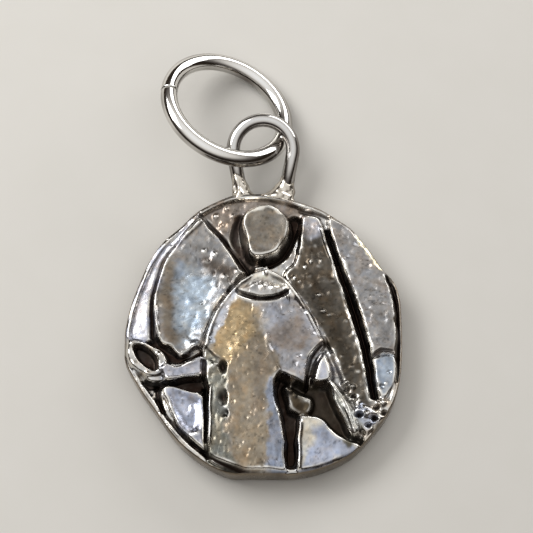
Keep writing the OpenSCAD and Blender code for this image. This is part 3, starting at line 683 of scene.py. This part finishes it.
SMOOTHING, NEAR_PASSES, FAR_PASSES = 2, 8, 60
STAIN_GAIN = 1.5
table = average(table, SMOOTHING)
z = table[i_of, j_of]
hollow_near = (average(table, NEAR_PASSES) - table)[i_of, j_of]
hollow_far = (average(table, FAR_PASSES) - table)[i_of, j_of]
stain_and_shade_table = np.zeros((cells + 1, cells + 1))
stain_and_shade_table[i_of, j_of] = stain_and_shade
stain_and_shade = np.clip(average(stain_and_shade_table, SMOOTHING)[i_of, j_of] * STAIN_GAIN, 0, 1)
patchy = 0.8 + 0.25 * lumps(0.5) + 0.2 * lumps(0.18)
caught = ease((hollow_near - 0.01) / 0.09) * 0.5 + ease((hollow_far - 0.05) / 0.3) * 0.3
oxide_and_shade_share = np.clip(np.maximum(caught * patchy, stain_and_shade * (0.92 + 0.1 * patchy)), 0, 1)

# Outlines of painted patches of light and shade that don't follow a form's own outline
GROUND_PATCH = [(199, 212), (240, 195), (290, 200), (330, 214), (300, 216), (290, 262), (262, 268), (248, 268)]
WING_SHADE = [(204, 258), (222, 262), (240, 270), (230, 280), (214, 276), (202, 268)]
WING_SLOPE = [(164, 262), (176, 262), (174, 290), (176, 320), (184, 344), (168, 342), (158, 312)]
FRONT = [(228, 305), (238, 301), (256, 313), (261, 326), (268, 338), (268, 350), (279, 358), (276, 371),
         (268, 385), (266, 405), (269, 430), (266, 457), (262, 470), (246, 466), (236, 461), (231, 446),
         (228, 430), (230, 410), (226, 389), (228, 371), (219, 358), (211, 346), (216, 327)]
FRONT_MIDDLE = [(256, 340), (268, 350), (276, 366), (266, 384), (264, 420), (252, 410), (254, 370)]
CHEST_BAND = [(274, 326), (292, 318), (308, 330), (304, 346), (286, 350), (272, 344)]
FRONT_LIT = [(226, 308), (238, 302), (252, 312), (254, 328), (244, 350), (232, 362), (220, 356), (214, 344),
             (217, 326)]
CUP_LIT = [(190, 276), (206, 278), (214, 292), (206, 316), (194, 334), (184, 320), (182, 294)]
WING_TIP = [(302, 214), (312, 211), (322, 222), (320, 236), (306, 236)]
WING_STREAK = [(316, 270), (326, 290), (340, 330), (352, 370), (344, 374), (330, 344), (314, 304)]
# Painted highlights, where edges catch the light
HEAD_HIGHLIGHT = [(243, 246), (241, 228), (245, 212), (254, 205), (267, 202), (281, 208), (279, 213), (266, 208),
             (256, 211), (249, 218), (246, 229), (247, 246)]
COLLAR_HIGHLIGHT = [(226, 300), (238, 287), (246, 280), (256, 272), (264, 269), (272, 273), (285, 281), (294, 294),
               (288, 297), (280, 288), (268, 282), (260, 281), (250, 287), (240, 297), (228, 310)]
ROBE_HIGHLIGHT = [(226, 300), (236, 292), (228, 310), (219, 326), (214, 345), (207, 346), (210, 326), (217, 310)]
HEM_HIGHLIGHT = [(299, 418), (314, 416), (322, 421), (312, 434), (304, 460), (299, 460)]
RIM_HIGHLIGHT = [(357, 231), (365, 238), (376, 252), (385, 270), (379, 271), (368, 256), (358, 243)]
# The slit under the collar is packed full of oxide, and painted near black for the shade deep inside it
SLIT = [(238, 291.5), (248, 295), (261, 297.5), (275, 296), (287, 292), (287, 295.5), (275, 300),
        (261, 301.5), (248, 299.5), (238, 295)]
# Each painted patch: outline, colour, strength, softness of the border, height of the face. The tan, blue and
# dark grey ones are painted reflections, the lit, tip and highlight ones are painted highlights, and the
# shade, streak, cavity and fold ones are painted shade
PAINTED_LIGHT_PATCHES = [
    (GROUND_PATCH, "#887c72", 0.85, 0.4, GROUND_Z), (LEFT_FLANK, "#b4b5c0", 0.8, 0.3, RIM_Z),
    (LEFT_WING, "#8f8d8c", 0.85, 0.4, WING_Z), (LEFT_CUP, "#9aa5b0", 0.8, 1.1, WING_Z),
    (CUP_LIT, "#b4c2cf", 0.75, 0.8, WING_Z), (WING_SHADE, "#554a40", 0.8, 0.7, WING_Z),
    (WING_SLOPE, "#7d7263", 0.85, 0.6, WING_Z), (LOWER_WING, "#a9afc2", 0.85, 0.3, WING_Z),
    (RIGHT_WING, "#524b41", 0.95, 0.3, WING_Z), (WING_STREAK, "#3f382f", 0.6, 0.5, WING_Z),
    (WING_TIP, "#b9b7ba", 0.85, 0.4, WING_Z), (OUTER_BAND, "#8f8d8d", 0.85, 0.3, WING_Z),
    (BAND_PATCH, "#a6b2c0", 0.8, 0.3, WING_Z), (HEM_PANEL, "#aeb6ca", 0.85, 0.3, HEM_Z),
    (ROBE, "#aaa7a4", 0.7, 0.3, ROBE_Z), (ROBE_LEFT_FACE, "#6d6d63", 0.85, 0.35, ROBE_Z),
    (CHEST, "#a6a6ab", 0.85, 0.6, ROBE_Z), (CHEST_BAND, "#85786c", 0.7, 0.7, ROBE_Z),
    (ROBE_RIGHT_FACE, "#98a3b8", 0.85, 0.25, ROBE_Z), (FRONT, "#948671", 0.9, 0.35, ROBE_Z),
    (FRONT_LIT, "#b8a17c", 0.85, 0.6, ROBE_Z), (FRONT_MIDDLE, "#82786c", 0.7, 0.7, ROBE_Z),
    (HEAD, "#8c857a", 0.85, 0.3, HEAD_Z), (ARM_CAVITY, "#5c5745", 0.9, 0.3, RIM_Z),
    (FOLD, "#544a3c", 0.9, 0.3, FOLD_Z), (PALM, "#b4bac8", 0.8, 0.25, PALM_Z),
    (RIGHT_ARM, "#83847f", 0.8, 0.3, ARM_Z), (LEFT_ARM, "#b0b1bd", 0.75, 0.3, ARM_Z),
    (CUFF, "#b2b6c4", 0.8, 0.2, ARM_Z), (HEAD_HIGHLIGHT, "#f4efe2", 0.9, 0.12, HEAD_Z),
    (COLLAR_HIGHLIGHT, "#efeae0", 0.85, 0.16, ROBE_Z), (ROBE_HIGHLIGHT, "#d5dbe6", 0.8, 0.2, ROBE_Z),
    (HEM_HIGHLIGHT, "#e6dcc2", 0.7, 0.5, HEM_Z), (RIM_HIGHLIGHT, "#f2e8cb", 0.9, 0.15, RIM_Z),
    (SLIT, "#17110f", 0.97, 0.08, ROBE_Z)]
BARE, BRIGHT = "#cfccc6", "#f6f3ec"
PATCH_WAVER = 0.35
UNPATCHED_DULLNESS = 0.3
WARM, COOL = "#9b8465", "#b3bccb"
colour = np.tile(np.array(linear(BARE)), (len(x), 1))
dull = np.full(len(x), UNPATCHED_DULLNESS)
# The patches paint reflections, highlights and shade into the colour
for pixels, code, strength, edge, at_z in PAINTED_LIGHT_PATCHES:
    who, share = area(pixels, edge, at_z, PATCH_WAVER)
    share = (share * strength)[:, None]
    colour[who] = colour[who] * (1 - share) + np.array(linear(code)) * share
    dull[who] = np.maximum(dull[who], share[:, 0])
# Tints make the colours here a little warmer and there cooler, but hardly lighter or darker
for tint, amount, size in [(WARM, 0.16, 0.5), (COOL, 0.3, 0.6), (WARM, 0.12, 0.17), (COOL, 0.2, 0.14)]:
    share = (amount * ease(lumps(size) * 1.4))[:, None]
    hue = np.array(linear(tint))
    hue[:3] /= hue[:3].mean()
    colour = colour * (1 - share + hue * share)
# The colours are cloudy and speckled too
cloudy = 1 + 0.24 * lumps(0.5) + 0.18 * lumps(0.2) + 0.12 * lumps(0.085)
colour[:, :3] *= cloudy[:, None]
speck = ease((lumps(0.11) - 0.45) / 0.3) * ease(0.5 + lumps(0.5))
colour[:, :3] *= (1 - 0.45 * speck)[:, None]
# Rubbing brightened what stands proud
rubbed_here = np.clip(0.5 + 0.8 * lumps(0.6) + 0.2 * lumps(0.2), 0, 1)
high_edge = ease((-hollow_near - 0.006) / 0.035) * rubbed_here
colour = colour * (1 - high_edge[:, None]) + np.array(linear(BRIGHT)) * high_edge[:, None]
colour = np.clip(colour, 0, 1)
dull = np.clip(0.1 + 0.2 * dull + 0.25 * oxide_and_shade_share - 0.14 * high_edge, 0.06, 0.6)
print("oxide covers", round(float(oxide_and_shade_share.mean()), 3), "of the face")

# %% [markdown]
# The worked heights go into the mesh, the border is extruded down ring by ring, and the back closes.

# %% Write the face, extrude the edge, close the back
mesh.vertices.foreach_set("co", np.column_stack([x, y, z]).ravel())
mesh.update()
# How far inside the outline each ring lies, and its height
SIDE = [(0.05, 1.83), (0.01, 1.68), (0.0, 1.3), (0.0, 0.8), (0.05, 0.36), (0.16, 0.12), (0.34, 0.0)]
for draw, level in SIDE:
    bpy.ops.object.mode_set(mode="EDIT")
    bpy.ops.mesh.select_mode(type="VERT")
    bpy.ops.mesh.select_all(action="DESELECT")
    bpy.ops.mesh.select_non_manifold()
    bpy.ops.mesh.extrude_region_move()
    bpy.ops.object.mode_set(mode="OBJECT")
    for vertex in mesh.vertices:
        if vertex.select:
            angle = math.atan2(vertex.co.y, vertex.co.x)
            far = float(reach(angle)) - draw
            vertex.co = (far * math.cos(angle), far * math.sin(angle), level)
bpy.ops.object.mode_set(mode="EDIT")
bpy.ops.mesh.select_all(action="DESELECT")
bpy.ops.mesh.select_non_manifold()
bpy.ops.mesh.edge_face_add()
bpy.ops.mesh.select_all(action="SELECT")
bpy.ops.mesh.normals_make_consistent(inside=False)
bpy.ops.object.mode_set(mode="OBJECT")


def paint(mesh, name, kind, values):
    layer = mesh.attributes.new(name, kind, "POINT")
    layer.data.foreach_set("color" if kind == "FLOAT_COLOR" else "value", values.ravel())


def smooth_but_for_caps(mesh):
    """Only the many-sided faces that close an end or the back stay flat."""
    mesh.polygons.foreach_set("use_smooth", [len(p.vertices) <= 4 for p in mesh.polygons])


# The side is browner than the face, with streaked patina, and darker towards the table as painted shade
side = places(mesh)[len(x):]
streaks = lumps(0.8, (side[:, 0], side[:, 1]))
side_patina_and_shade = np.clip(0.3 + 0.25 * streaks + 0.2 * ease((1.2 - side[:, 2]) / 1.2), 0, 0.8)
side_colour = np.tile(linear("#948775"), (len(side), 1))
paint(mesh, "patina_and_painted_shade", "FLOAT", np.concatenate([oxide_and_shade_share, side_patina_and_shade]))
paint(mesh, "dullness", "FLOAT", np.concatenate([dull, 0.2 + 0.2 * side_patina_and_shade]))
paint(mesh, "colour_and_painted_light", "FLOAT_COLOR", np.vstack([colour, side_colour]))


def paint_shade_on_sides(mesh, bright, dark, level, amount):
    """Paints shade on the metal, in patches, where it faces less upwards than level, so that its sides show
    dark.
    """
    at = places(mesh)
    middle = (at.min(0) + at.max(0)) / 2
    up = np.array([vertex.normal.z for vertex in mesh.vertices])
    patches = 0.62 + 0.55 * lumps(1.3, (at[:, 0] - middle[0], at[:, 1] - middle[1]))
    turned_away = ease((level - up) / 0.3)
    share = (turned_away * np.clip(patches, 0.2, 1) * amount)[:, None]
    colour_and_painted_light = np.array(linear(bright)) * (1 - share) + np.array(linear(dark)) * share
    paint(mesh, "colour_and_painted_light", "FLOAT_COLOR", colour_and_painted_light)


def finish_piece(piece, metal, body, slot, *nodes):
    piece.data.transform(Matrix.Scale(MM, 4))
    piece.data.materials.clear()
    piece.data.materials.append(metal)
    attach(piece, body)
    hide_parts(*nodes)
    bpy.ops.object.select_all(action="DESELECT")
    at = places(piece.data) / MM
    print(piece.name, len(piece.data.polygons), "faces, from", at.min(0).round(2), "to", at.max(0).round(2),
          "origin", tuple(piece.location))


smooth_but_for_caps(mesh)
finish_piece(medallion, cast_metal, "charm", "cast_silver", "medallion")

# %% [markdown]
# A jump ring is wound round a rod and sawn off, so it is a true circle of round wire with a hairline
# joint. A circle of wire is drawn and spun about the ring's middle, and the two sawn ends are filled.
# With no window, spin turns clockwise for a positive angle, so the angle is given as a negative one.

# %% Jump ring
RING_WIRE = 1.0
RING_OUTER = 8.3
RING_SEAM = 0.04
SEAM_TURN = 136
RING_HEADING = 38
ROUND_STEPS = 48
eye = next(m for m in frame["record"]["mounts"] if m["name"] == "jump_ring_eye")
ring_centre = Vector(eye["pos_m"]) / MM
ring_r = (RING_OUTER - RING_WIRE) / 2
ring_tilt = math.acos(Vector(eye["axis"]).normalized().z)
ring_place = (Matrix.Translation(ring_centre) @ Matrix.Rotation(math.radians(RING_HEADING), 4, "Z")
              @ Matrix.Rotation(ring_tilt, 4, "Y"))
half_seam = RING_SEAM / ring_r / 2


def wire_circle(name, radius, wire, start):
    """A circle of wire standing on its radius, ready to be spun about Z."""
    bpy.ops.mesh.primitive_circle_add(vertices=ROUND_STEPS, radius=wire / 2, location=(0, 0, 0))
    piece = bpy.context.object
    piece.name = name
    stand = (Matrix.Rotation(start, 4, "Z") @ Matrix.Translation((radius, 0, 0))
             @ Matrix.Rotation(math.pi / 2, 4, "X"))
    piece.data.transform(stand)
    return piece


def close_ends():
    bpy.ops.mesh.select_all(action="DESELECT")
    bpy.ops.mesh.select_non_manifold()
    bpy.ops.mesh.fill_holes(sides=0)
    bpy.ops.mesh.select_all(action="SELECT")
    bpy.ops.mesh.normals_make_consistent(inside=False)
    bpy.ops.object.mode_set(mode="OBJECT")


ring = wire_circle("jump_ring_wire", ring_r, RING_WIRE, math.radians(SEAM_TURN) + half_seam)
bpy.ops.object.mode_set(mode="EDIT")
bpy.ops.mesh.select_all(action="SELECT")
bpy.ops.mesh.spin(steps=200, angle=-(2 * math.pi - 2 * half_seam), center=(0, 0, 0), axis=(0, 0, 1))
close_ends()
ring.data.transform(ring_place)
smooth_but_for_caps(ring.data)
paint_shade_on_sides(ring.data, bright="#f2f0ec", dark="#4d433b", level=0.84, amount=0.9)
finish_piece(ring, ring_metal, "jump_ring", "ring_silver", "jump_ring")

# %% [markdown]
# The bail is thinner wire of the same kind, bent over a thinner rod. It is spun as an arc, and each
# end is extruded straight on to its foot, where the solder hides it.

# %% Bail
BAIL_WIRE = 0.8
BAIL_W = 4.3
BAIL_REACH = 3.2
BAIL_LIFT = math.radians(18)
LEG_LEAN = math.radians(11)
FOOT_Z = 1.15
FOOT_SUNK = 0.15
SEAT_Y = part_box("bail_loop")[0].y / MM
bail_r = (BAIL_W - BAIL_WIRE) / 2
leg_len = (BAIL_REACH - bail_r * math.sin(LEG_LEAN)) / math.cos(LEG_LEAN)
foot_x = bail_r * math.cos(LEG_LEAN) - leg_len * math.sin(LEG_LEAN)
bail_place = Matrix.Translation((0, SEAT_Y, FOOT_Z)) @ Matrix.Rotation(BAIL_LIFT, 4, "X")
bail = wire_circle("bail_wire", bail_r, BAIL_WIRE, -LEG_LEAN)
bpy.ops.object.mode_set(mode="EDIT")
bpy.ops.mesh.select_all(action="SELECT")
bpy.ops.mesh.spin(steps=90, angle=-(math.pi + 2 * LEG_LEAN), center=(0, 0, 0), axis=(0, 0, 1))
for side in (-1, 1):
    bpy.ops.mesh.select_all(action="DESELECT")
    bpy.ops.mesh.select_non_manifold()
    bpy.ops.object.mode_set(mode="OBJECT")
    # Edges keep a selection of their own, so the other end's edges are let go as well as its points
    for edge in bail.data.edges:
        edge.select = edge.select and all(bail.data.vertices[v].co.x * side > 0 for v in edge.vertices)
    for vertex in bail.data.vertices:
        vertex.select = vertex.select and vertex.co.x * side > 0
    bpy.ops.object.mode_set(mode="EDIT")
    along = Vector((-side * math.sin(LEG_LEAN), -math.cos(LEG_LEAN), 0)) * (leg_len + FOOT_SUNK)
    bpy.ops.mesh.extrude_region_move(TRANSFORM_OT_translate={"value": along})
close_ends()
bail.data.transform(bail_place @ Matrix.Translation((0, BAIL_REACH, 0)))
smooth_but_for_caps(bail.data)
paint_shade_on_sides(bail.data, bright="#dcdad7", dark="#4d433b", level=0.84, amount=0.85)
finish_piece(bail, bail_metal, "charm", "silver_wire", "bail_loop")

# %% [markdown]
# Melted solder creeps up the wire and out over the edge, thick where it cooled last. Each blob starts
# as a cone with equal ends, is divided finely, drawn in to a flare, and made uneven.

# %% Solder
SOLDER_R = 0.66
# How far up the leg from its foot the blob starts
SOLDER_FROM = 0.24
SOLDER_OVER_WIRE = 0.01
TABLE_GAP = 0.02


def solder_blob(name, side, height, lump, web, node):
    """A flare of solder round one leg. A web of it runs along the edge towards the other leg."""
    bpy.ops.mesh.primitive_cone_add(vertices=ROUND_STEPS, radius1=1, radius2=1, depth=1, location=(0, 0, 0))
    blob = bpy.context.object
    blob.name = name
    bpy.ops.object.mode_set(mode="EDIT")
    bpy.ops.mesh.select_all(action="SELECT")
    bpy.ops.mesh.subdivide(number_cuts=12)
    bpy.ops.object.mode_set(mode="OBJECT")
    wire_r = BAIL_WIRE / 2 + SOLDER_OVER_WIRE
    for vertex in blob.data.vertices:
        t = vertex.co.z + 0.5
        turn_at = math.atan2(vertex.co.y, vertex.co.x)
        flare = wire_r + (SOLDER_R - wire_r) * (1 - t) ** 1.5
        wave = noise.noise(Vector((math.cos(turn_at) * 1.6, math.sin(turn_at) * 1.6, t * 4 + side * 7)))
        top_at = height * (1 + 0.16 * math.sin(2 * turn_at + side))
        inward = max(0, -side * math.cos(turn_at)) ** 2
        flare *= (1 + lump * wave * (1 - t * t)) * (1 + web * inward * (1 - t) ** 1.8)
        far = math.hypot(vertex.co.x, vertex.co.y) * flare
        up_leg = SOLDER_FROM + t * (top_at - SOLDER_FROM)
        vertex.co = (far * math.cos(turn_at), far * math.sin(turn_at), up_leg)
    # Local +Z runs up the leg, from the foot
    leg = (bail_place @ Matrix.Translation((side * foot_x, 0, 0)) @ Matrix.Rotation(-side * LEG_LEAN, 4, "Z")
           @ Matrix.Rotation(-math.pi / 2, 4, "X"))
    blob.data.transform(leg)
    # The table is under the part, so nothing goes below it
    for vertex in blob.data.vertices:
        vertex.co.z = max(vertex.co.z, TABLE_GAP)
    blob.data.polygons.foreach_set("use_smooth", [True] * len(blob.data.polygons))
    paint_shade_on_sides(blob.data, bright="#e6dfd3", dark="#5d5147", level=0.7, amount=0.8)
    finish_piece(blob, solder_metal, "charm", "silver_solder", node)


solder_blob("left_solder_blob", side=-1, height=1.6, lump=0.38, web=0.3, node="solder_left")
solder_blob("right_solder_blob", side=1, height=1.4, lump=0.24, web=1.5, node="solder_right")
